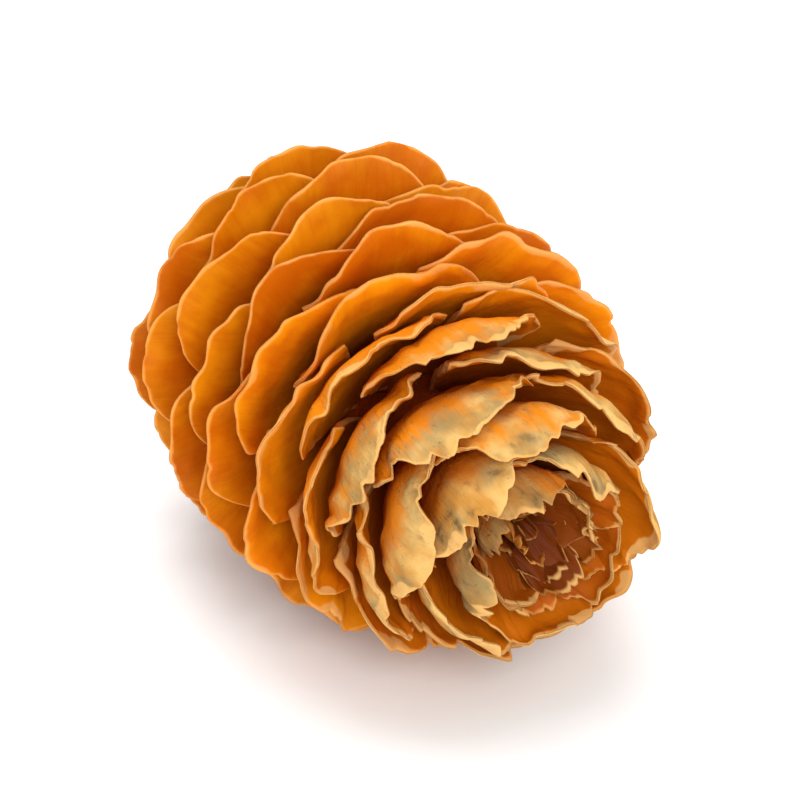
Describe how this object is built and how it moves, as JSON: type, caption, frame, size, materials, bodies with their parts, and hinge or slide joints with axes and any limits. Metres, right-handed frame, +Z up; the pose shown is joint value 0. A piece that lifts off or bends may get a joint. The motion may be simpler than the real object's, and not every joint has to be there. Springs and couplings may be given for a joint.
{
  "type": "larch cone",
  "caption": "Dried larch cone, dyed orange, that lies on its side: thin rounded woody scales set in a spiral, closing over a small hollow tip, with a scarred stalk stub.",
  "frame": {"origin": "centre of the bounding box's base, on the surface the cone lies on", "axes": "+X along the cone's axis from the stalk to the tip, +Z up"},
  "size_m": [0.036, 0.0278, 0.0271],
  "materials": {
    "dyed_scale": "matt to satin, dyed orange, with buff and grey weathered backs near the tip"
  },
  "bodies": {
    "root": {"cone": "dyed_scale"}
  },
  "joints": []
}
